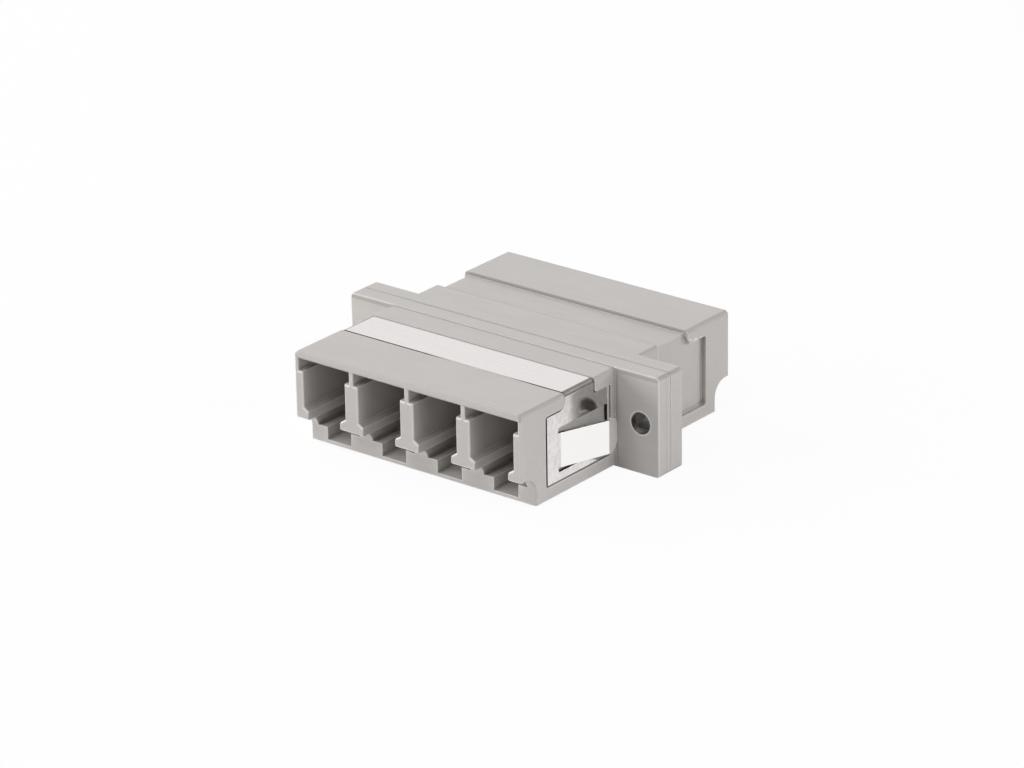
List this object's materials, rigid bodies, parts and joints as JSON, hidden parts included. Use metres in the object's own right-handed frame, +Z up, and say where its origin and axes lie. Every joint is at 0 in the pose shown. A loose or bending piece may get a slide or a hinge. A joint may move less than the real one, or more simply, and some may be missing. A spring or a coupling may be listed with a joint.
{
  "type": "fibre optic adapter",
  "caption": "Flanged fibre adapter with a row of square ports on both sides, two moulded halves, a sheet-metal panel clip and split sleeves inside.",
  "frame": {"origin": "bottom of the part, on the seam between the two halves and in the middle of the row of ports", "axes": "+X along the row of ports, +Y along the fibres away from the half with the clip, +Z up, with the plug latches on the underside"},
  "size_m": [0.0346, 0.0302, 0.0094],
  "materials": {
    "moulding": "fine matte, warm light grey",
    "spring_sheet": "bright rolled stainless sheet",
    "sleeve_ceramic": "ground and polished white"
  },
  "bodies": {
    "root": {"front_housing": "moulding", "rear_housing": "moulding", "retaining_clip": "spring_sheet", "alignment_sleeve_1": "sleeve_ceramic", "alignment_sleeve_2": "sleeve_ceramic", "alignment_sleeve_3": "sleeve_ceramic", "alignment_sleeve_4": "sleeve_ceramic"}
  },
  "joints": []
}
